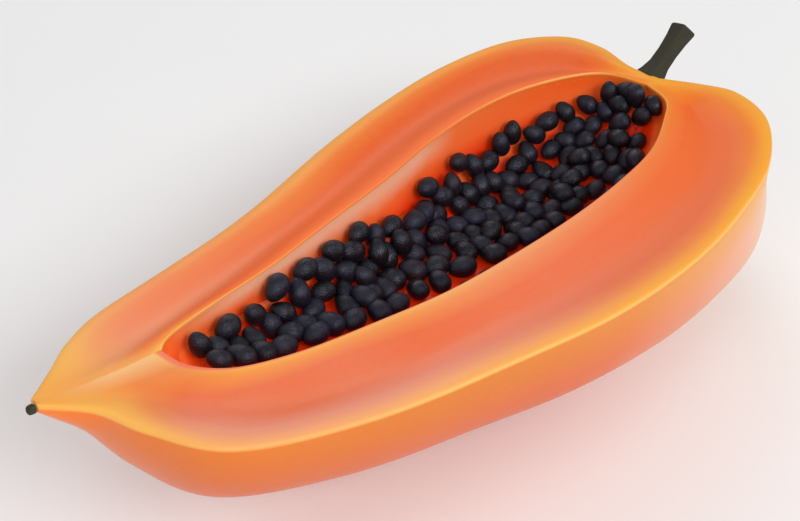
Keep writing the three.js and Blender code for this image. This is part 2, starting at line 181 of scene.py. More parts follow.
THREAD_STATION = 0.5  # and at this station

# ---------------------------------------------------------------- stalk and blossom tip

STEM_START = np.array([179, 4, -3.4])
STEM_DIRECTION = np.array([11.1, 0, 7.9])
STEM_STOPS = [(0, 2.6), (2.5, 4.3), (4.2, 3.6), (7, 2.9), (11, 2.8), (15, 3.1), (18.2, 3.6), (18.6, 3.3)]
TIP_JOINT = 1.5  # the dried remnant begins here, just past the cut-off point of the flesh
TIP_START = np.array([1.2, 0.1, 11.2])
TIP_DIRECTION = np.array([-1, 0, 0.15])
TIP_STOPS = [(0, 0.95), (0.5, 0.95), (1, 0.85), (1.25, 0.6)]
ROD_FACETS = 5
ROD_TWIST = 0.3
ROD_CRISPNESS = 0.85
GROOVES = 25
GROOVE_DEPTH = 0.012  # as a share of the radius, on average
ROD_HOLLOW = [(0, 0.8), (0.15, 0.6), (0.25, 0.3), (0.25, 0)]  # depth of the cut end, share of its radius

# ---------------------------------------------------------------- fineness

SKIN_STATIONS = 260
SKIN_ANGLES = 110
FACE_STEPS = 30
ROLL_STEPS = 7
LIP_EDGE_STEPS = 4
WALL_ANGLES = 70
SEED_SIDES = 28
SEED_BANDS = 16
PULP_STEPS = (160, 60)
THREAD_SIDES = 10
ROD_SIDES = 90
ROD_RINGS = 60
SLOPE_STEP = 1e-3  # a small step in station or angle, for the wall's slopes
WELD = 1e-6  # metres


def clamp(value, low, high):
    return np.minimum(np.maximum(value, low), high)


def smoothstep(value, low, high):
    t = clamp((value - low) / (high - low), 0, 1)
    return t * t * (3 - 2 * t)


def lerp(a, b, t):
    return a + (b - a) * t


def stepped(value, s, changes):
    """A value that eases from level to level along the stations."""
    for change, start, end in changes:
        value = value + change * smoothstep(s, start, end)
    return value


def steps(low, high, count):
    return np.linspace(low, high, count + 1)


def crossed(first, second):
    """Every pairing of two rows of values, as two flat arrays."""
    return [grid.ravel() for grid in np.meshgrid(first, second, indexing="ij")]


def unit(vectors):
    return vectors / np.linalg.norm(vectors, axis=-1, keepdims=True)


def spline(points, share):
    """The points at these shares of a smooth curve through given points."""
    points = np.array(points, float)
    last = len(points) - 1
    place = np.atleast_1d(np.asarray(share, float)) * last
    index = np.minimum(np.floor(place).astype(int), last)
    u = (place - index)[:, None]
    before = points[np.maximum(index - 1, 0)]
    here = points[index]
    after = points[np.minimum(index + 1, last)]
    beyond = points[np.minimum(index + 2, last)]
    slope_here = (after - before) / 2
    slope_after = (beyond - here) / 2
    cubic = 2 * here - 2 * after + slope_here + slope_after
    square = -3 * here + 3 * after - 2 * slope_here - slope_after
    return cubic * u ** 3 + square * u ** 2 + slope_here * u + here


def lift(x):
    """How far the blossom end curls up."""
    return TIP_LIFT * np.maximum(1 - x / TIP_LIFT_TO, 0) ** 2


# ---------------------------------------------------------------- the fruit's surfaces, in its own mm

def section_point(near, far, angle, power, depth, bulge, overhang, top):
    """Points of hanging sections between a near and a far edge."""
    middle = (near + far) / 2
    half = (far - near) / 2
    cosine = np.cos(angle)
    sine = np.abs(np.sin(angle))
    across = -np.sign(cosine) * np.abs(cosine) ** (2 / power) * (1 + bulge * np.sin(2 * angle) ** 2)
    x = middle[:, 0] + half[:, 0] * across + overhang * sine ** 2
    y = middle[:, 1] + half[:, 1] * across
    return np.column_stack([x, y, top + lift(x) - depth * sine ** (2 / power)])


def skin_points(s, angle):
    near, far = spline(NEAR_RIM, s), spline(FAR_RIM, s)
    width = np.linalg.norm(far - near, axis=1) / 2
    stem_end = smoothstep(s, STEM_END_FROM, STEM_END_TO)
    tip_end = 1 - smoothstep(s, 0, TIP_FADES_AT)
    depth = width * lerp(1, TIP_DEPTH_RATIO, tip_end) * lerp(1, STEM_END_DEPTH_RATIO, stem_end)
    overhang = STEM_END_OVERHANG * stem_end * (1 - smoothstep(s, STEM_END_TO, 1))
    power = lerp(2, STEM_END_POWER, stem_end)
    return section_point(near, far, angle, power, depth, STEM_END_BULGE * stem_end, overhang, 0)


def cavity_points(s, angle):
    near, far = spline(NEAR_LIP, s), spline(FAR_LIP, s)
    depth = np.linalg.norm((far - near) / 2, axis=1) * CAVITY_DEPTH_RATIO
    return section_point(near, far, angle, CAVITY_POWER, depth, 0, 0, LIP_HEIGHT)


def rim_roll(s, is_near):
    """How wide the rolled edge along the skin is at a station."""
    shoulder = smoothstep(s, *SHOULDER_GROWS) * (1 - smoothstep(s, *SHOULDER_FADES))
    plain = RIM_ROLL_NEAR if is_near else RIM_ROLL_FAR
    return lerp(plain, RIM_ROLL_SHOULDER, shoulder) * smoothstep(s, *ROLL_GROWS) + RIM_ROLL_LEAST


def face_line(s, is_near):
    """The cut face at one station: points, and how far each is from the rim and from the lip.

    Below the lip its straight inner edge follows, where the distance from the lip is negative.
    """
    outer = spline(NEAR_RIM if is_near else FAR_RIM, s)[0]
    inner = spline(NEAR_LIP if is_near else FAR_LIP, s)[0]
    span = np.linalg.norm(inner - outer)
    roll = min(rim_roll(s, is_near), span * ROLL_SHARE)
    lip_roll = min(LIP_ROLL, span * ROLL_SHARE)
    dish = FACE_DISH * smoothstep(s, *DISH_GROWS) * (1 - smoothstep(s, *DISH_FADES))
    turn = steps(0, math.pi / 2, ROLL_STEPS)
    middle = steps(0, 1, FACE_STEPS)[1:-1]
    below = steps(0, LIP_DROP - LIP_ROLL, LIP_EDGE_STEPS)[1:]
    distance = np.concatenate([
        roll * (1 - np.cos(turn)),
        lerp(roll, span - lip_roll, middle),
        span - lip_roll * (1 - np.sin(turn)),
        span + 0 * below,
    ])
    height = np.concatenate([
        FACE_RISE * np.sin(turn),
        FACE_RISE - dish * np.sin(middle * math.pi) ** 2,
        FACE_RISE - LIP_ROLL * (1 - np.cos(turn)),
        FACE_RISE - LIP_ROLL - below,
    ])
    flat = outer + (inner - outer) * (distance / span)[:, None]
    points = np.column_stack([flat, height + lift(flat[:, 0])])
    lip_mm = span - distance
    lip_mm[-LIP_EDGE_STEPS:] -= below
    return points, distance, lip_mm


def edge_band(s, is_near):
    """How wide the yellow band along the skin is at a station, in mm."""
    tip_end = 1 - smoothstep(s, *BAND_TIP_FADES)
    stem_end = smoothstep(s, *BAND_STEM_GROWS)
    return lerp(*(BAND_NEAR if is_near else BAND_FAR), stem_end) + BAND_AT_TIP * tip_end


def to_frame(points):
    """The fruit's own millimetres to metres in the frame."""
    return (np.asarray(points) - REST_POINT) * MM


# ---------------------------------------------------------------- meshes

def grid_faces(rows, columns, start, flip):
    """Quads over a grid of vertices that is numbered row by row."""
    faces = []
    for row in range(rows - 1):
        for column in range(columns - 1):
            a = start + row * columns + column
            quad = (a, a + 1, a + columns + 1, a + columns)
            faces.append(quad[::-1] if flip else quad)
    return faces


class Surface:
    """Grids gathered into one mesh, each with its material number and its point values."""

    def __init__(self, *value_names):
        self.points = []
        self.faces = []
        self.materials = []
        self.values = {name: [] for name in value_names}
        self.count = 0

    def add_grid(self, points, rows, material, flip=False, **values):
        faces = grid_faces(rows, len(points) // rows, self.count, flip)
        self.faces += faces
        self.materials += [material] * len(faces)
        self.points.append(points)
        for name, stored in self.values.items():
            stored.append(np.broadcast_to(values.get(name, 0.0), len(points)))
        self.count += len(points)

    def build(self, name, materials):
        mesh = bpy.data.meshes.new(name)
        mesh.from_pydata(to_frame(np.concatenate(self.points)).tolist(), [], self.faces)
        mesh.polygons.foreach_set("material_index", self.materials)
        for value, stored in self.values.items():
            layer = mesh.attributes.new(value, "FLOAT", "POINT")
            layer.data.foreach_set("value", np.concatenate(stored).astype(np.float32))
        work = bmesh.new()
        work.from_mesh(mesh)
        bmesh.ops.remove_doubles(work, verts=work.verts, dist=WELD)
        bmesh.ops.dissolve_degenerate(work, edges=work.edges, dist=WELD)
        work.to_mesh(mesh)
        work.free()
        mesh.shade_smooth()
        piece = bpy.data.objects.new(name, mesh)
        bpy.context.scene.collection.objects.link(piece)
        for material in materials:
            mesh.materials.append(material)
        return piece


SKIN, FLESH, WALL = range(3)  # the fruit's materials


def add_skin(surface, stations):
    s, angle = crossed(stations, steps(0, math.pi, SKIN_ANGLES))
    points = skin_points(s, angle)
    rim_mm = -points[:, 2] + lift(points[:, 0])
    near_share = 1 - smoothstep(angle, *NEAR_SKIN_FADES)
    surface.add_grid(points, len(stations), SKIN, along=s, rim_mm=rim_mm, lip_mm=FAR_AWAY_MM,
                     skin_near=near_share)


def add_wall(surface, stations):
    s, angle = crossed(stations, steps(0, math.pi, WALL_ANGLES))
    points = cavity_points(s, angle)
    lip_mm = LIP_HEIGHT + lift(points[:, 0]) - points[:, 2]
    far_share = smoothstep(angle, *FAR_WALL_GROWS)
    surface.add_grid(points, len(stations), WALL, flip=True, along=s, rim_mm=FAR_AWAY_MM, lip_mm=lip_mm,
                     far=far_share)


def add_face(surface, stations, is_near):
    """The cut face on one side, between the rim and the cavity."""
    lines = [face_line(s, is_near) for s in stations]
    points, rim_mm, lip_mm = (np.concatenate(parts) for parts in zip(*lines))
    along = np.repeat(stations, len(points) // len(stations))
    surface.add_grid(points, len(stations), FLESH, flip=is_near, along=along, far=float(not is_near),
                     rim_mm=rim_mm, edge_share=rim_mm / edge_band(along, is_near), lip_mm=lip_mm)


def fruit_piece(materials):
    """Skin, cut face and cavity wall as one closed surface, cut off at the tip and at the floor."""
    surface = Surface("along", "rim_mm", "lip_mm", "edge_share", "far", "skin_near")
    stations = steps(0, 1, SKIN_STATIONS)
    add_skin(surface, stations)
    add_wall(surface, stations)
    add_face(surface, stations, is_near=True)
    add_face(surface, stations, is_near=False)
    for block in surface.points:
        block[:, 0] = np.maximum(block[:, 0], TIP_JOINT)
        block[:, 2] = np.maximum(block[:, 2], REST_POINT[2])
    piece = surface.build("papaya_flesh_and_skin", materials)
    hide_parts("papaya_half")
    return piece


# ---------------------------------------------------------------- where the seeds lie

WORD = 0xFFFFFFFF


def random_source(state):
    """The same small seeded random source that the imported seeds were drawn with."""
    while True:
        state = (state + 0x6D2B79F5) & WORD
        bits = ((state ^ (state >> 15)) * (1 | state)) & WORD
        bits = ((bits + (((bits ^ (bits >> 7)) * (61 | bits)) & WORD)) & WORD) ^ bits
        yield ((bits ^ (bits >> 14)) & WORD) / (WORD + 1)


def heap_foot(s):
    """The angle on the near side down to which the heap of seeds reaches."""
    return stepped(HEAP_FOOT, s, HEAP_FOOT_STEPS)


def bed_top(s):
    """The angle on the far wall up to which the seeds reach."""
    return stepped(BED_TOP, s, BED_TOP_STEPS)


def seed_size(s):
    return stepped(SEED_NARROW_END, s, SEED_SIZE_STEPS)


def bed_height(s, angle):
    """How far the seeds' middles lie from the wall."""
    return lerp(BED_EDGE, BED_FLOOR, np.sin(angle) ** 4 * smoothstep(s, *BED_GROWS))


# How often a seed is dropped, between which stations, the least distance between middles, how much
# higher than the bed the middles lie, and from and to which angle.
SEED_LAYERS = [
    {  # the row at the foot of the heap
        "tries": 900, "stations": (0.15, 0.985), "room": 4.9, "rise": (0, 0.6),
        "from": heap_foot, "to": lambda s: heap_foot(s) + 0.12,
    },
    {  # a few that lie by themselves on the far wall
        "tries": 14, "stations": (0.2, 0.9), "room": 6.2, "rise": (-0.6, -0.4),
        "from": lambda s: bed_top(s) + 0.02, "to": lambda s: bed_top(s) + 0.12,
    },
    {  # the ragged upper edge
        "tries": 45, "stations": (0.15, 0.985), "room": 4.9, "rise": (0, 0.3),
        "from": lambda s: bed_top(s) - 0.14, "to": bed_top,
    },
    {  # the layer between, loose
        "tries": 4000, "stations": (0.14, 0.997), "room": 4.9, "rise": (0, 0.6),
        "from": heap_foot, "to": lambda s: bed_top(s) - 0.1,
    },
    {  # and then filled up
        "tries": 4000, "stations": (0.14, 0.997), "room": 4.1, "rise": (0, 0.6),
        "from": heap_foot, "to": lambda s: bed_top(s) - 0.06,
    },
    {  # the near wall
        "tries": 1500, "stations": (0.3, 0.8), "room": 5.4, "rise": (0, 0.6),
        "from": lambda s: 0.45, "to": lambda s: heap_foot(s) - 0.42,
    },
    {  # seeds that lie on top
        "tries": 2000, "stations": (0.22, 0.96), "room": 4.1, "rise": (2, 2.6),
        "from": lambda s: heap_foot(s) + 0.1, "to": lambda s: bed_top(s) - 0.3,
    },
    {  # seeds pressed against the wall at the stalk end
        "tries": 1500, "stations": (0.93, 0.995), "room": 3.9, "rise": (-1.6, -1.2),
        "from": lambda s: 0.1, "to": lambda s: 3,
    },
]
DRAWS_PER_TRY = 6


def wall_frames(s, angle):
    """Points on the cavity's wall with the ways along the fruit and into the hollow."""
    along = unit(cavity_points(s + SLOPE_STEP, angle) - cavity_points(s - SLOPE_STEP, angle))
    around = unit(cavity_points(s, angle + SLOPE_STEP) - cavity_points(s, angle - SLOPE_STEP))
    return cavity_points(s, angle), along, unit(np.cross(along, around))


def place_seeds():
    """Seeds drop at random on the wall, layer by layer, and stay where they have room."""
    random = random_source(SEED_DRAW)
    centres = np.zeros((0, 3))
    seeds = []
    for layer in SEED_LAYERS:
        draws = np.array([[next(random) for _ in range(DRAWS_PER_TRY)] for _ in range(layer["tries"])])
        station_draw, angle_draw, turn_draw, tilt_draw, size_draw, rise_draw = draws.T
        s = lerp(*layer["stations"], station_draw)
        angle = lerp(layer["from"](s), layer["to"](s), angle_draw)
        turn = SEED_TURN + (turn_draw[:, None] - 0.5) * SEED_TURN_SPREAD
        tilt = (tilt_draw[:, None] - 0.5) * 2 * SEED_TILT
        size = (1 + (size_draw - 0.5) * 2 * SEED_SPREAD) * seed_size(s)
        height = bed_height(s, angle) + lerp(*layer["rise"], rise_draw)
        wall, along, inward = wall_frames(s, angle)
        centre = wall + inward * height[:, None]
        across = np.cross(inward, along)
        axis = unit(along * np.cos(turn) + across * np.sin(turn) + inward * np.sin(tilt))
        lone = angle > bed_top(s)
        for i in range(layer["tries"]):
            if len(centres) and np.linalg.norm(centres - centre[i], axis=1).min() < layer["room"]:
                continue
            centres = np.vstack([centres, centre[i]])
            seeds.append({
                "centre": centre[i], "axis": axis[i], "inward": inward[i], "wall": wall[i],
                "size": size[i], "lone": lone[i],
            })
    return seeds


# ---------------------------------------------------------------- seeds, pulp, stalk and tip

SEED_COAT, PULP = range(2)  # the materials of the seeds' piece


def seed_shape(random):
    """A slightly uneven egg with its long axis along X, in shares of its half sizes."""
    band, side = crossed(steps(0, math.pi, SEED_BANDS), steps(0, 2 * math.pi, SEED_SIDES))
    taper = 1 - SEED_TAPER * np.cos(band)
    ball = np.column_stack([np.cos(band), np.sin(band) * np.cos(side), np.sin(band) * np.sin(side)])
    ways = unit(np.array([[next(random) - 0.5 for _ in range(3)] for _ in range(DENT_WAVES)]))
    dent = sum(np.cos(DENT_PITCH * (ball @ way) + DENT_PHASE * next(random)) for way in ways) / DENT_WAVES
    ball *= (1 + SEED_DENT * dent)[:, None]
    return ball * np.column_stack([np.ones_like(taper), taper, taper])


def add_seed(surface, seed, random):
    """One egg, with its own tone and its own part of the wrinkle pattern."""
    shape = seed_shape(random)
    half = np.array([SEED_LENGTH, SEED_WIDTH, SEED_THICKNESS]) / 2
    across = unit(np.cross(seed["inward"], seed["axis"]))
    basis = np.array([seed["axis"], across, np.cross(seed["axis"], across)])
    points = seed["centre"] + (shape * half * seed["size"]) @ basis
    local_x = shape[:, 0] + WRINKLE_SHIFT * next(random)
    surface.add_grid(points, SEED_BANDS + 1, SEED_COAT, flip=True, tone=next(random), local_x=local_x,
                     local_y=shape[:, 1], local_z=shape[:, 2])


def add_pulp(surface):
    """The pulp that the seeds sit in: it follows the wall, swells under the heap and thins out."""
    s, share = crossed(steps(*PULP_STATIONS, PULP_STEPS[0]), steps(0, 1, PULP_STEPS[1]))
    top = bed_top(s) - PULP_SHORT
    angle = lerp(PULP_FROM, top, share)
    first, last = PULP_STATIONS
    fade = smoothstep(angle, PULP_FROM, PULP_FROM + PULP_EDGE)
    fade = fade * (1 - smoothstep(angle, top - PULP_EDGE, top))
    fade = fade * smoothstep(s, first, PULP_GROWS_TO) * (1 - smoothstep(s, PULP_FADES_FROM, last))
    ripple = (RIPPLE_HEIGHT * np.sin(RIPPLES_ALONG * s + SWAY_ALONG[0] * np.sin(SWAY_ALONG[1] * angle))
              * np.sin(RIPPLES_ROUND * angle + SWAY_ROUND[0] * np.sin(SWAY_ROUND[1] * s)))
    height = lerp(PULP_SUNK, bed_height(s, angle) - PULP_DROP + ripple, fade)
    wall, _, inward = wall_frames(s, angle)
    points = wall + inward * height[:, None]
    surface.add_grid(points, PULP_STEPS[0] + 1, PULP, flip=True, lip_mm=PULP_TONE_MM * fade, along=s)


def add_thread(surface, seed):
    """The short thread of pulp that a lone seed hangs on."""
    turn = steps(0, 2 * math.pi, THREAD_SIDES)
    across = unit(np.cross(seed["inward"], seed["axis"]))
    ring = np.cos(turn)[:, None] * seed["axis"] + np.sin(turn)[:, None] * across
    foot = seed["wall"] - THREAD_FOOT * seed["inward"]
    rings = [lerp(foot, seed["centre"], share) + ring * radius for share, radius in THREAD_STOPS]
    surface.add_grid(np.concatenate(rings), len(rings), PULP, lip_mm=THREAD_TONE_MM, along=THREAD_STATION)


def seed_piece(seeds, materials):
    """Every seed, the pulp that they sit in, and the threads of those that lie by themselves."""
    random = random_source(SEED_DRAW + 1)
    surface = Surface("tone", "local_x", "local_y", "local_z", "lip_mm", "along")
    for seed in seeds:
        add_seed(surface, seed, random)
    add_pulp(surface)
    for seed in seeds:
        if seed["lone"]:
            add_thread(surface, seed)
    piece = surface.build("seeds_in_pulp", materials)
    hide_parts("seeds")
    return piece


def rod_piece(name, start, direction, stops, material, node):
    """A faceted rod with fine grooves along it, closed with a slightly hollow cut end."""
    forward = unit(direction)
    sideways = unit(np.cross([0, 1, 0], forward))
    across = np.cross(forward, sideways)
    facet = math.pi / ROD_FACETS
    turn = steps(0, 2 * math.pi, ROD_SIDES)
    flat = np.cos(facet) / np.cos((turn + ROD_TWIST) % (2 * facet) - facet)
    outline = lerp(1, flat, ROD_CRISPNESS) * (1 - GROOVE_DEPTH * (1 + np.cos(GROOVES * turn)))
    ring = np.cos(turn)[:, None] * sideways + np.sin(turn)[:, None] * across
    ring = ring * outline[:, None]
    distances, radii = np.array(stops, float).T
    reach = steps(0, distances[-1], ROD_RINGS)
    rings = [start + forward * d + ring * r for d, r in zip(reach, np.interp(reach, distances, radii))]
    for depth, share in ROD_HOLLOW:
        rings.append(start + forward * (distances[-1] - depth) + ring * radii[-1] * share)
    surface = Surface("end")
    ends = np.repeat([0.0] * len(reach) + [1.0] * len(ROD_HOLLOW), len(turn))
    surface.add_grid(np.concatenate(rings), len(rings), 0, end=ends)
    piece = surface.build(name, [material])
    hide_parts(node)
    return piece


# ---------------------------------------------------------------- shader nodes

def add_node(tree, kind, inputs=None, **settings):
    """A node with its settings; an input is a plain value or another node's output."""
    node = tree.nodes.new(kind)
    for name, value in settings.items():
        setattr(node, name, value)
    for name, value in (inputs or {}).items():
        feed(tree, node.inputs[name], value)
    return node


def feed(tree, socket, value):
    if isinstance(value, bpy.types.NodeSocket):
        tree.links.new(value, socket)
    else:
        socket.default_value = value


def new_material(name, **constants):
    """A material whose shader has these constants on its own sockets."""
    material = bpy.data.materials.new(name)
    material.use_nodes = True
    tree = material.node_tree
    shader = tree.nodes["Principled BSDF"]
    for socket, value in constants.items():
        shader.inputs[socket.replace("_", " ")].default_value = value
    return material, tree, shader


def finish_shader(tree, shader, base, rough, relief=None, relief_depth=0.0):
    """The shader's colour and roughness, and fine relief whose depth is in metres."""
    tree.links.new(base, shader.inputs["Base Color"])
    tree.links.new(rough, shader.inputs["Roughness"])
    if relief is not None:
        bump = {"Height": relief, "Distance": relief_depth, "Strength": 1.0}
        tree.links.new(add_node(tree, "ShaderNodeBump", bump).outputs["Normal"], shader.inputs["Normal"])


def srgb(red, green, blue):
    """A colour given as it looks on a screen, 0 to 255, as the shader wants it."""
    def linear(value):
        value /= 255
        return value / 12.92 if value <= 0.04045 else ((value + 0.055) / 1.055) ** 2.4
    return (linear(red), linear(green), linear(blue), 1)


def grey(level):
    return srgb(level, level, level)


def attribute(tree, name):
    return add_node(tree, "ShaderNodeAttribute", attribute_name=name).outputs["Fac"]


def object_space(tree):
    return add_node(tree, "ShaderNodeTexCoord").outputs["Object"]


def ramp(tree, value, stops):
    """Colours at places from 0 to 1 along a value."""
    node = add_node(tree, "ShaderNodeValToRGB", {"Fac": value})
    elements = node.color_ramp.elements
    while len(elements) < len(stops):
        elements.new(0.5)
    for element, (place, colour) in zip(elements, stops):
        element.position = place
        element.color = colour
    return node.outputs["Color"]


def curve(tree, value, stops):
    """A share that follows listed stops, where it is given as a grey from 0 to 255."""
    return ramp(tree, value, [(place, grey(level)) for place, level in stops])


def noise(tree, scale, detail, roughness=0.55, vector=None):
    if vector is None:
        vector = object_space(tree)
    inputs = {"Vector": vector, "Scale": scale, "Detail": detail, "Roughness": roughness}
    return add_node(tree, "ShaderNodeTexNoise", inputs).outputs["Fac"]


def math_node(tree, operation, a, b):
    node = add_node(tree, "ShaderNodeMath", operation=operation)
    feed(tree, node.inputs[0], a)
    feed(tree, node.inputs[1], b)
    return node.outputs["Value"]


def total(tree, a, b):
    return math_node(tree, "ADD", a, b)


def product(tree, first, *others):
    for other in others:
        first = math_node(tree, "MULTIPLY", first, other)
    return first


def mapped(tree, value, span, result=(0.0, 1.0)):
    """A value carried from one span to another, and held at the span's ends."""
    return add_node(tree, "ShaderNodeMapRange", {
        "Value": value, "From Min": span[0], "From Max": span[1], "To Min": result[0], "To Max": result[1],
    }).outputs["Result"]


def mixed(tree, share, a, b):
    """Colour a turned towards colour b by a share."""
    node = add_node(tree, "ShaderNodeMix", data_type="RGBA", blend_type="MIX")
    feed(tree, node.inputs[0], share)
    feed(tree, node.inputs[6], a)
    feed(tree, node.inputs[7], b)
    return node.outputs[2]


# ---------------------------------------------------------------- colours

FLESH_PINK = srgb(233, 106, 58)
FLESH_ROSE = srgb(236, 116, 78)
FLESH_WARM = srgb(239, 106, 46)
FLESH_ORANGE = srgb(237, 101, 28)
FLESH_RED = srgb(231, 96, 40)
# painted light that lifts the dish's shade beside the far lip
FLESH_PAINTED_LIGHT = srgb(255, 110, 32)
FLESH_FIBRE = srgb(255, 180, 110)
# painted pink sheens on the cut face, reflections of the lights, near side and far side
NEAR_SHEEN = srgb(244, 158, 138)
FAR_SHEEN = srgb(240, 146, 106)
# painted sheen veil: a soft pink reflection of the lights on the cut face
SHEEN_VEIL = srgb(236, 152, 128)
RIM_TIP = srgb(246, 170, 60)
RIM_YELLOW = srgb(250, 184, 76)
RIM_GOLD = srgb(249, 172, 44)
RIM_AMBER = srgb(226, 142, 50)
RIM_LIGHT = srgb(255, 220, 120)
# painted highlight along the crease between face and skin
CREASE_HIGHLIGHT = srgb(250, 180, 96)
# painted glow beside the lip, standing in for light that comes through the flesh
LIP_YELLOW = srgb(252, 190, 72)
LIP_PEACH = srgb(246, 184, 116)
LIP_HONEY = srgb(252, 180, 48)
LIP_GOLD = srgb(255, 190, 62)
# painted highlight on the lip's rounded edge
LIP_HIGHLIGHT_PINK = srgb(242, 104, 88)
LIP_HIGHLIGHT_PALE = srgb(255, 196, 104)
LIP_HIGHLIGHT_ORANGE = srgb(255, 158, 56)
# painted light and shade of a ridge at the blossom end: its lit near side and its shaded far side
KEEL_LIT_SIDE = srgb(250, 192, 124)
KEEL_SHADED_SIDE = srgb(244, 162, 72)

WALL_TIP = srgb(255, 122, 48)
# painted pale reflection high on the far wall
WALL_HALF_SHEEN = srgb(255, 154, 104)
WALL_SHEEN = srgb(255, 192, 156)
WALL_ORANGE = srgb(255, 128, 66)
WALL_VIVID = srgb(255, 104, 34)
WALL_STEM_END = srgb(255, 120, 44)
WALL_LOWER = srgb(255, 114, 54)
WALL_DEEP_TIP = srgb(255, 90, 24)
WALL_RED = srgb(250, 40, 2)
# painted glow: the wall and the pulp give off a faint red light that lifts their shade
WALL_PAINTED_GLOW = (1, 0.06, 0, 1)

SKIN_TIP = srgb(255, 128, 36)
SKIN_ORANGE = srgb(240, 122, 36)
SKIN_OCHRE = srgb(226, 128, 42)
SKIN_RED = srgb(230, 104, 32)
SKIN_DEEP = srgb(224, 96, 30)
SKIN_SPECK = srgb(250, 176, 92)
# painted sheen at the broad end of the skin, a reflection of light at a grazing angle
SKIN_SHEEN_TOP = srgb(236, 168, 50)
SKIN_SHEEN = srgb(236, 188, 158)

SEED_WRINKLE = srgb(48, 48, 58)
STALK_DARK = srgb(52, 52, 48)
STALK_PALE = srgb(68, 66, 50)
STALK_END = srgb(96, 88, 62)
BLOSSOM_DARK = srgb(48, 47, 36)
BLOSSOM_PALE = srgb(74, 70, 50)
FLOOR_SHADES = (grey(244), grey(250))

BLEED = (1.0, 0.35, 0.15)  # how much farther red light runs in flesh and skin than green and blue
WALL_BLEED = (1.0, 0.3, 0.1)

# How fine each noise is before it is stretched, in cells per metre, or per half size on the seeds.
VEIL_SCALE = 22
FLESH_SCALE = 40
FIBRE_SCALE = 700
WALL_SCALE = 60
WALL_GRAIN_SCALE = 420
SKIN_SCALE = 28
SPECK_SCALE = 900
WRINKLE_SCALE = 3
STALK_SCALE = 420
FLOOR_SCALE = 6
CLOUD = (0.3, 0.7)  # where most of a noise's values lie

# ---------------------------------------------------------------- the cut face
# Tables give colours, or shares as greys, at places. Places are stations, but mm from the lip or the rim
# in names with MM, widths of the yellow band in names with EDGE, widths of the stripe itself in names
# with ACROSS or SOFT, and values of the noise in names with CLOUD. SHARE, ROUGH and UNEVEN are results,
# and so are the widths of the glow and of the line.

NEAR_FLESH = [(0.3, FLESH_PINK), (0.5, FLESH_ROSE), (0.7, FLESH_WARM), (0.85, FLESH_ORANGE)]
# where the painted pink sheens lie, on the near side and on the far side
NEAR_SHEEN_ALONG = [(0.17, 0), (0.26, 225), (0.4, 225), (0.52, 0)]
NEAR_SHEEN_EDGE = (1.7, 0.8)
FAR_SHEEN_MM = (5, 11)
FAR_SHEEN_ALONG = (0.5, 0.2)
# where painted light lifts the dish's shade beside the far lip
FAR_LIGHT_MM = (9, 3)
FAR_LIGHT_SHARE = (0, 0.8)

# the painted sheen veil: where it lies, patchy by noise, and how strong it is on each side
VEIL_ALONG = [(0.12, 0), (0.24, 255), (0.3, 255), (0.6, 0)]
VEIL_CLOUD = (0.45, 0.7)
VEIL_SHARE = (0, 0.3)
VEIL_SIDE_SHARE = (1, 0.3)  # near side, far side

BAND_EDGE = [(0.0, 255), (0.25, 225), (0.55, 140), (1.0, 0)]
BAND_ALONG = [(0.0, 255), (0.2, 255), (0.32, 180), (0.5, 235), (0.7, 255)]
BAND_COLOURS = [(0.06, RIM_TIP), (0.16, RIM_YELLOW), (0.4, RIM_YELLOW), (0.7, RIM_GOLD)]
BAND_UNEVEN = (-0.05, 0.05)

# the painted glow beside the lip: its width, side shares and colours
GLOW_NARROWS = (0.2, 0.32)
GLOW_WIDTH_MM = (11, 7)
GLOW_ACROSS = [(0.0, 240), (0.35, 170), (1.0, 0)]
GLOW_GROWS = (0.08, 0.2)
GLOW_TIP_SHARE = (0.4, 1)
GLOW_NEAR_FADES = (0.4, 0.7)
GLOW_NEAR_SHARE = (1, 0.4)
GLOW_FAR_FADES = (0.14, 0.26)
GLOW_FAR_SHARE = (0.7, 0)
GLOW_COLOURS = [(0.3, LIP_YELLOW), (0.5, LIP_PEACH), (0.65, LIP_PEACH), (0.85, LIP_HONEY)]

# where the painted ridge of light and shade lies, and the gold corner of the lip
KEEL_ALONG = (0.08, 0.02)
KEEL_MM = (24, 12)
CORNER_ALONG = (0.1, 0.02)
CORNER_MM = (3, 0)
KEEL_SHARE = 0.9

# where the painted highlight on the lip lies, and how strong it is
LINE_NARROWS = (0.1, 0.4)
LINE_NEAR_MM = (1.9, 0.5)
LINE_FAR_MM = 0.45
LINE_SOFT = (0.6, 1)
LINE_PALES = (0.7, 0.9)
LINE_ORANGE_FROM = (0.88, 0.94)
LINE_NEAR_SHARE = 235
LINE_FAR_ALONG = [(0.1, 235), (0.25, 220), (0.4, 140), (0.55, 110), (0.7, 190), (0.8, 235)]
BELOW_LIP_MM = (0, -0.3)

# the painted highlight along the crease, and the painted thread of light on it
CREASE_REACH_MM = (0, 2)
CREASE_ACROSS = [(0.0, 255), (0.3, 150), (0.6, 0)]
CREASE_SHARE = 0.6
CREASE_DARKENS = (0.4, 0.65)
RIM_LIGHT_MM = (0.4, 0.2)
RIM_LIGHT_FROM = (0.3, 0.45)
RIM_LIGHT_SHARE = (0, 0.3)

FIBRE_CLOUD = (0.35, 0.75)
FIBRE_SHARE = (0, 0.06)
FIBRE_ROUGH = (-0.02, 0.03)
FLESH_ROUGH = (0.4, 0.46)
FIBRE_DEPTH = 0.00004


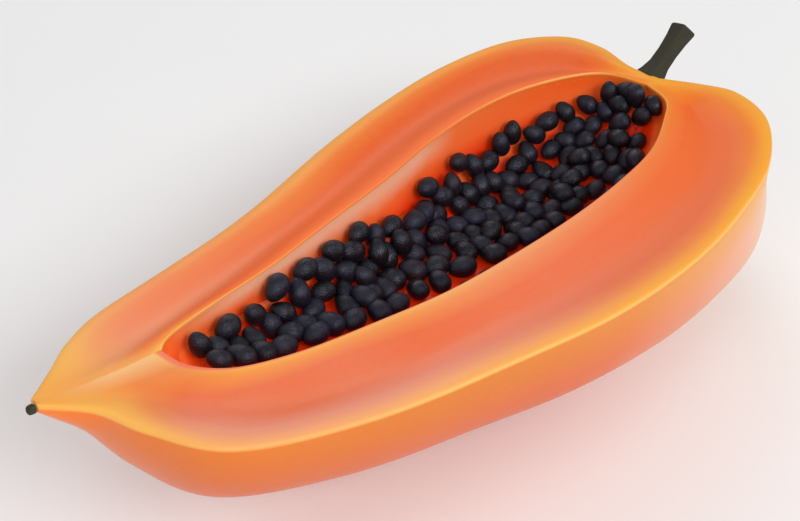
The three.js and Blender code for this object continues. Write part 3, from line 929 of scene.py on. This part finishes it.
def flesh_colour(tree, along, lip_mm, far, edge):
    """Orange-red within and paler towards the blossom end, with painted pink sheens on its blossom half
    and painted light beside the far lip that lifts the dish's shade.
    """
    sheen = product(tree, curve(tree, along, NEAR_SHEEN_ALONG), mapped(tree, edge, NEAR_SHEEN_EDGE))
    near_side = mixed(tree, sheen, ramp(tree, along, NEAR_FLESH), NEAR_SHEEN)
    sheen = product(tree, mapped(tree, lip_mm, FAR_SHEEN_MM), mapped(tree, along, FAR_SHEEN_ALONG))
    far_side = mixed(tree, sheen, FLESH_RED, FAR_SHEEN)
    far_side = mixed(tree, mapped(tree, lip_mm, FAR_LIGHT_MM, FAR_LIGHT_SHARE), far_side, FLESH_PAINTED_LIGHT)
    base = mixed(tree, far, near_side, far_side)
    sheen_veil = product(
        tree,
        mapped(tree, noise(tree, VEIL_SCALE, detail=1), VEIL_CLOUD, VEIL_SHARE),
        curve(tree, along, VEIL_ALONG),
        mapped(tree, far, (0, 1), VEIL_SIDE_SHARE),
    )
    return mixed(tree, sheen_veil, base, SHEEN_VEIL)


def add_rim_band(tree, base, along, edge):
    """The yellow band along the skin."""
    share = product(tree, curve(tree, edge, BAND_EDGE), curve(tree, along, BAND_ALONG))
    return mixed(tree, share, base, ramp(tree, along, BAND_COLOURS))


def add_painted_lip_glow(tree, base, along, lip_mm, far):
    """A painted pale band beside the cavity's lip, standing in for light that comes through the flesh."""
    width = mapped(tree, along, GLOW_NARROWS, GLOW_WIDTH_MM)
    near_share = mapped(tree, along, GLOW_NEAR_FADES, GLOW_NEAR_SHARE)
    far_share = mapped(tree, along, GLOW_FAR_FADES, GLOW_FAR_SHARE)
    glow = product(
        tree,
        curve(tree, math_node(tree, "DIVIDE", lip_mm, width), GLOW_ACROSS),
        mapped(tree, far, (0, 1), (near_share, far_share)),
        mapped(tree, along, GLOW_GROWS, GLOW_TIP_SHARE),
    )
    return mixed(tree, glow, base, ramp(tree, along, GLOW_COLOURS))


def add_painted_keel(tree, base, along, lip_mm, far):
    """A painted ridge of light and shade from the blossom tip to the cavity, lit on its near side and
    shaded on its far side, and the gold corner of the lip at its end.
    """
    ridge = product(tree, mapped(tree, along, KEEL_ALONG), mapped(tree, lip_mm, KEEL_MM), KEEL_SHARE)
    base = mixed(tree, ridge, base, mixed(tree, far, KEEL_LIT_SIDE, KEEL_SHADED_SIDE))
    corner = product(tree, mapped(tree, along, CORNER_ALONG), mapped(tree, lip_mm, CORNER_MM), KEEL_SHARE)
    return mixed(tree, corner, base, LIP_GOLD)


def add_lip_highlight(tree, base, along, lip_mm, far):
    """The thin line on the lip, a painted highlight on its rounded edge: pink and broader near the blossom
    end, pale on the far side.
    """
    near_width = mapped(tree, along, LINE_NARROWS, LINE_NEAR_MM)
    width = mapped(tree, far, (0, 1), (near_width, LINE_FAR_MM))
    line = mapped(tree, math_node(tree, "DIVIDE", lip_mm, width), LINE_SOFT, (1, 0))
    colour = mixed(tree, mapped(tree, along, LINE_PALES), LIP_HIGHLIGHT_PINK, LIP_HIGHLIGHT_PALE)
    colour = mixed(tree, far, colour, LIP_HIGHLIGHT_PALE)
    colour = mixed(tree, mapped(tree, along, LINE_ORANGE_FROM), colour, LIP_HIGHLIGHT_ORANGE)
    strength = mixed(tree, far, grey(LINE_NEAR_SHARE), curve(tree, along, LINE_FAR_ALONG))
    base = mixed(tree, product(tree, line, strength), base, colour)
    return mixed(tree, mapped(tree, lip_mm, BELOW_LIP_MM), base, wall_colour(tree))


def add_crease(tree, base, along, rim_mm):
    """The crease where the face meets the skin: a painted pale highlight along it, amber at the broad end,
    with a painted thread of light on it.
    """
    crease = curve(tree, mapped(tree, rim_mm, CREASE_REACH_MM), CREASE_ACROSS)
    colour = mixed(tree, mapped(tree, along, CREASE_DARKENS), CREASE_HIGHLIGHT, RIM_AMBER)
    base = mixed(tree, product(tree, crease, CREASE_SHARE), base, colour)
    strength = mapped(tree, along, RIM_LIGHT_FROM, RIM_LIGHT_SHARE)
    light = product(tree, mapped(tree, rim_mm, RIM_LIGHT_MM), strength)
    return mixed(tree, light, base, RIM_LIGHT)


def flesh_material():
    """The cut face: yellow along the skin, orange-red within, painted sheens, glow, ridge and crease
    highlight, and a thin pale painted highlight on the cavity's lip.
    """
    material, tree, shader = new_material(
        "papaya_flesh", IOR=1.4, Specular_Tint=(1, 0.8, 0.62, 1), Coat_Weight=0.02, Coat_Roughness=0.3,
        Subsurface_Weight=0.12, Subsurface_Radius=BLEED, Subsurface_Scale=0.004,
    )
    along, lip_mm, rim_mm, far, edge_share = (
        attribute(tree, name) for name in ("along", "lip_mm", "rim_mm", "far", "edge_share")
    )
    cloud = noise(tree, FLESH_SCALE, detail=2)
    fibres = noise(tree, FIBRE_SCALE, detail=6, roughness=0.65)
    edge = total(tree, edge_share, mapped(tree, cloud, CLOUD, BAND_UNEVEN))
    base = flesh_colour(tree, along, lip_mm, far, edge)
    base = add_rim_band(tree, base, along, edge)
    base = add_painted_lip_glow(tree, base, along, lip_mm, far)
    base = add_painted_keel(tree, base, along, lip_mm, far)
    base = add_lip_highlight(tree, base, along, lip_mm, far)
    base = add_crease(tree, base, along, rim_mm)
    base = mixed(tree, mapped(tree, fibres, FIBRE_CLOUD, FIBRE_SHARE), base, FLESH_FIBRE)
    rough = total(tree, mapped(tree, cloud, CLOUD, FLESH_ROUGH), mapped(tree, fibres, CLOUD, FIBRE_ROUGH))
    finish_shader(tree, shader, base, rough, fibres, FIBRE_DEPTH)
    return material


# ---------------------------------------------------------------- the cavity's wall and the pulp

NEAR_WALL = [(0.1, WALL_TIP), (0.4, WALL_ORANGE), (0.85, WALL_VIVID), (1.0, WALL_STEM_END)]
# on the far side a painted pale reflection lies near the blossom end
FAR_WALL = [(0.1, WALL_TIP), (0.2, WALL_HALF_SHEEN), (0.28, WALL_SHEEN), (0.56, WALL_SHEEN),
            (0.63, WALL_ORANGE), (0.85, WALL_VIVID), (1.0, WALL_STEM_END)]
WALL_WIDENS = (0.2, 0.48)
WALL_DEPTH_MM = (8, 16)  # the wall's depth counts in these lengths, before and after it widens
WALL_UNEVEN = (-0.05, 0.05)
WALL_LOWER_SHARE = [(0.0, 0), (0.08, 90), (0.18, 180), (0.32, 255)]
WALL_REDDENS = (0.14, 0.28)
WALL_DEEP = (0.32, 0.65)
WALL_ROUGH = (0.3, 0.4)
WALL_RELIEF = 0.00005


def wall_colour(tree):
    """The upper wall of the cavity, with a painted pale reflection on the far side near the blossom end.
    """
    along = attribute(tree, "along")
    return mixed(tree, attribute(tree, "far"), ramp(tree, along, NEAR_WALL), ramp(tree, along, FAR_WALL))


def wall_material(name):
    """The moist wall of the cavity and the pulp on it: pale above, with a painted reflection on the far
    side, deep red below, and a faint painted red glow that lifts their shade.
    """
    material, tree, shader = new_material(
        name, IOR=1.38, Emission_Color=WALL_PAINTED_GLOW, Emission_Strength=0.08, Subsurface_Weight=0.1,
        Subsurface_Radius=WALL_BLEED, Subsurface_Scale=0.003,
    )
    cloud = noise(tree, WALL_SCALE, detail=3)
    along = attribute(tree, "along")
    depth_mm = mapped(tree, along, WALL_WIDENS, WALL_DEPTH_MM)
    depth = math_node(tree, "DIVIDE", attribute(tree, "lip_mm"), depth_mm)
    depth = total(tree, depth, mapped(tree, cloud, CLOUD, WALL_UNEVEN))
    base = mixed(tree, curve(tree, depth, WALL_LOWER_SHARE), wall_colour(tree), WALL_LOWER)
    deep = mixed(tree, mapped(tree, along, WALL_REDDENS), WALL_DEEP_TIP, WALL_RED)
    base = mixed(tree, mapped(tree, depth, WALL_DEEP), base, deep)
    grain = noise(tree, WALL_GRAIN_SCALE, detail=5)
    finish_shader(tree, shader, base, mapped(tree, cloud, CLOUD, WALL_ROUGH), grain, WALL_RELIEF)
    return material


# ---------------------------------------------------------------- the skin

SKIN_ALONG = [(0.05, SKIN_TIP), (0.2, SKIN_ORANGE), (0.4, SKIN_OCHRE), (0.65, RIM_AMBER)]
SKIN_DEPTH_MM = (0, 40)
SKIN_UNEVEN = (-0.02, 0.02)
SKIN_REDDENS = (0.02, 0.35)  # shares of that depth
SKIN_DEEPENS = (0.35, 1.0)
SKIN_CREASE_MM = (0.5, 0.1)
SKIN_CREASE_SHARE = (0, 0.6)
# where the painted sheen on the skin lies
SKIN_SHEEN_ALONG = (0.51, 0.73)
SKIN_SHEEN_NEAR = (0, 0.6)  # of the near side's share
SKIN_SHEEN_MM = (1, 13)
SPECK_CLOUD = (0.55, 0.75)
SPECK_SHARE = (0, 0.08)
SKIN_ROUGH = (0.34, 0.42)
SKIN_RELIEF = 0.00003


def skin_material():
    """Thin waxy skin: a painted pale highlight on the crease under the cut, orange below, and a painted
    cream sheen at the broad end, a reflection of light at a grazing angle.
    """
    material, tree, shader = new_material(
        "papaya_skin", IOR=1.35, Coat_Weight=0.12, Coat_Roughness=0.22, Subsurface_Weight=0.05,
        Subsurface_Radius=BLEED, Subsurface_Scale=0.003,
    )
    cloud = noise(tree, SKIN_SCALE, detail=4)
    specks = noise(tree, SPECK_SCALE, detail=2)
    rim_mm = attribute(tree, "rim_mm")
    along = attribute(tree, "along")
    depth = total(tree, mapped(tree, rim_mm, SKIN_DEPTH_MM), mapped(tree, cloud, CLOUD, SKIN_UNEVEN))
    base = mixed(tree, mapped(tree, depth, SKIN_REDDENS), ramp(tree, along, SKIN_ALONG), SKIN_RED)
    base = mixed(tree, mapped(tree, depth, SKIN_DEEPENS), base, SKIN_DEEP)
    base = mixed(tree, mapped(tree, rim_mm, SKIN_CREASE_MM, SKIN_CREASE_SHARE), base, CREASE_HIGHLIGHT)
    near_share = mapped(tree, attribute(tree, "skin_near"), SKIN_SHEEN_NEAR)
    sheen = product(tree, mapped(tree, along, SKIN_SHEEN_ALONG), near_share)
    pale = mixed(tree, mapped(tree, rim_mm, SKIN_SHEEN_MM), SKIN_SHEEN_TOP, SKIN_SHEEN)
    base = mixed(tree, sheen, base, pale)
    base = mixed(tree, mapped(tree, specks, SPECK_CLOUD, SPECK_SHARE), base, SKIN_SPECK)
    finish_shader(tree, shader, base, mapped(tree, cloud, CLOUD, SKIN_ROUGH), specks, SKIN_RELIEF)
    return material


# ---------------------------------------------------------------- seeds, stalk and floor

SEED_TONES = [(0.0, srgb(16, 14, 18)), (0.5, srgb(22, 19, 26)), (0.85, srgb(24, 22, 38)),
              (1.0, srgb(32, 20, 26))]
WRINKLE_STRETCH = {"X": 0.5, "Y": 4.0, "Z": 4.0}
WRINKLE_CLOUD = (0.45, 0.8)
WRINKLE_SHARE = (0, 0.3)
WRINKLE_ROUGH = (0.24, 0.38)
TONE_ROUGH = (-0.04, 0.08)
WRINKLE_DEPTH = 0.00014
GRAIN_STRETCH = (1.0, 4.0, 1.2)
GRAIN_ROUGH = (0.55, 0.75)
GRAIN_DEPTH = 0.00015
CUT_END_SHARE = 0.5
FLOOR_ROUGH = (0.6, 0.8)


def seed_material():
    """Near-black, slightly blue seeds with fine wrinkles along them."""
    material, tree, shader = new_material("papaya_seed", IOR=1.45, Specular_Tint=(0.72, 0.78, 1, 1))
    local = add_node(tree, "ShaderNodeCombineXYZ", {
        axis: product(tree, attribute(tree, "local_" + axis.lower()), stretch)
        for axis, stretch in WRINKLE_STRETCH.items()
    })
    wrinkles = noise(tree, WRINKLE_SCALE, detail=2, roughness=0.5, vector=local.outputs["Vector"])
    tone = attribute(tree, "tone")
    base = mixed(tree, mapped(tree, wrinkles, WRINKLE_CLOUD, WRINKLE_SHARE), ramp(tree, tone, SEED_TONES),
                 SEED_WRINKLE)
    tone_rough = mapped(tree, tone, (0, 1), TONE_ROUGH)
    rough = total(tree, mapped(tree, wrinkles, CLOUD, WRINKLE_ROUGH), tone_rough)
    finish_shader(tree, shader, base, rough, wrinkles, WRINKLE_DEPTH)
    return material


def stalk_material(name, dark, pale):
    """Dry, ridged plant stem with a paler cut end."""
    material, tree, shader = new_material(name, IOR=1.45, Specular_IOR_Level=0.12)
    space = add_node(tree, "ShaderNodeMapping", {"Vector": object_space(tree), "Scale": GRAIN_STRETCH})
    grain = noise(tree, STALK_SCALE, detail=6, roughness=0.65, vector=space.outputs["Vector"])
    base = mixed(tree, mapped(tree, grain, CLOUD), dark, pale)
    base = mixed(tree, product(tree, attribute(tree, "end"), CUT_END_SHARE), base, STALK_END)
    finish_shader(tree, shader, base, mapped(tree, grain, CLOUD, GRAIN_ROUGH), grain, GRAIN_DEPTH)
    return material


def floor_material():
    material, tree, shader = new_material("pale_floor", Specular_IOR_Level=0.2)
    cloud = noise(tree, FLOOR_SCALE, detail=3)
    rough = mapped(tree, cloud, (0, 1), FLOOR_ROUGH)
    finish_shader(tree, shader, mixed(tree, cloud, *FLOOR_SHADES), rough)
    return material


# ---------------------------------------------------------------- the stage

def add_camera():
    """The camera stands where the picture was taken from."""
    right = np.array([math.cos(CAMERA_AZIMUTH), -math.sin(CAMERA_AZIMUTH), 0])
    level = math.cos(CAMERA_ELEVATION)
    view = np.array([math.sin(CAMERA_AZIMUTH) * level, math.cos(CAMERA_AZIMUTH) * level,
                     -math.sin(CAMERA_ELEVATION)])
    up = np.cross(right, view)
    aside = (CUT_POINT_PIXEL[0] - FRAME_WIDTH / 2) / FOCAL_PIXELS * CUT_POINT_DISTANCE
    above = (FRAME_HEIGHT / 2 - CUT_POINT_PIXEL[1]) / FOCAL_PIXELS * CUT_POINT_DISTANCE
    place = to_frame(-(right * aside + up * above + view * CUT_POINT_DISTANCE))
    data = bpy.data.cameras.new("camera")
    data.sensor_width = SENSOR_MM
    data.lens = FOCAL_PIXELS / FRAME_WIDTH * SENSOR_MM
    data.clip_start = CLIP_START
    camera = bpy.data.objects.new("camera", data)
    turn = Matrix([[right[i], up[i], -view[i]] for i in range(3)])
    camera.matrix_world = Matrix.Translation(place.tolist()) @ turn.to_4x4()
    bpy.context.scene.collection.objects.link(camera)
    bpy.context.scene.camera = camera


def add_light(name, place, target, size, watts):
    data = bpy.data.lights.new(name, "AREA")
    data.shape = "RECTANGLE"
    data.size, data.size_y = size
    data.energy = watts
    light = bpy.data.objects.new(name, data)
    light.location = place
    light.rotation_euler = (Vector(target) - Vector(place)).to_track_quat("-Z", "Y").to_euler()
    bpy.context.scene.collection.objects.link(light)


def add_floor():
    mesh = bpy.data.meshes.new("floor")
    corners = [(-1, -1), (1, -1), (1, 1), (-1, 1)]
    mesh.from_pydata([(FLOOR_REACH * x, FLOOR_REACH * y, 0) for x, y in corners], [], [(0, 1, 2, 3)])
    floor = bpy.data.objects.new("floor", mesh)
    mesh.materials.append(floor_material())
    bpy.context.scene.collection.objects.link(floor)


def add_world():
    """An even white surround."""
    world = bpy.data.worlds.new("studio")
    world.use_nodes = True
    background = world.node_tree.nodes["Background"]
    background.inputs["Color"].default_value = (1, 1, 1, 1)
    background.inputs["Strength"].default_value = WORLD_STRENGTH
    bpy.context.scene.world = world


# ---------------------------------------------------------------- the scene

add_camera()
add_floor()
add_world()
for light in LIGHTS:
    add_light(*light)

pieces = [
    fruit_piece([skin_material(), flesh_material(), wall_material("cavity_wall")]),
    seed_piece(place_seeds(), [seed_material(), wall_material("seed_pulp")]),
    rod_piece("stem_stub", STEM_START, STEM_DIRECTION, STEM_STOPS,
              stalk_material("dry_stalk", STALK_DARK, STALK_PALE), "stem"),
    rod_piece("blossom_stub", TIP_START, TIP_DIRECTION, TIP_STOPS,
              stalk_material("dry_blossom", BLOSSOM_DARK, BLOSSOM_PALE), "blossom_tip"),
]
for piece in pieces:
    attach(piece, "root")

bpy.context.scene.view_settings.view_transform = "Standard"
